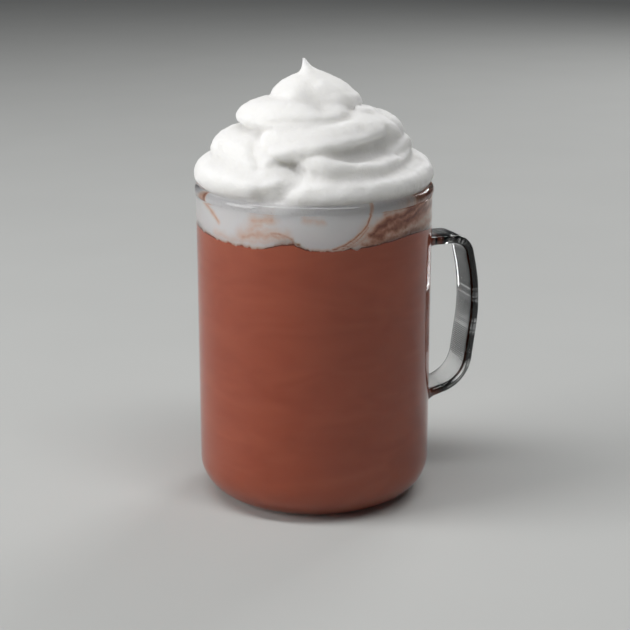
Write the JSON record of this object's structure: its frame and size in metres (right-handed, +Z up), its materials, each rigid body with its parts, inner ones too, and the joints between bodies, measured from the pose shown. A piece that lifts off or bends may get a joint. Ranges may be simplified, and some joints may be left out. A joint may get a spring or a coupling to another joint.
{
  "type": "caffe mocha",
  "caption": "Caffe mocha served in a straight clear glass mug with a strap handle, under marbled milk foam and a swirl of piped whipped cream.",
  "frame": {"origin": "centre of the mug's foot, on the surface it stands on", "axes": "+Z up along the mug's axis, +X towards the handle, +Y across the handle's strap"},
  "size_m": [0.1026, 0.083, 0.1539],
  "materials": {
    "clear_glass": "clear pressed glass, polished",
    "mocha": "opaque milky chocolate brown liquid",
    "milk_foam": "fine white foam marbled with brown",
    "whipped_cream": "soft satin white cream"
  },
  "bodies": {
    "root": {"glass_mug": "clear_glass", "mocha": "mocha", "milk_foam": "milk_foam", "whipped_cream": "whipped_cream"}
  },
  "joints": []
}
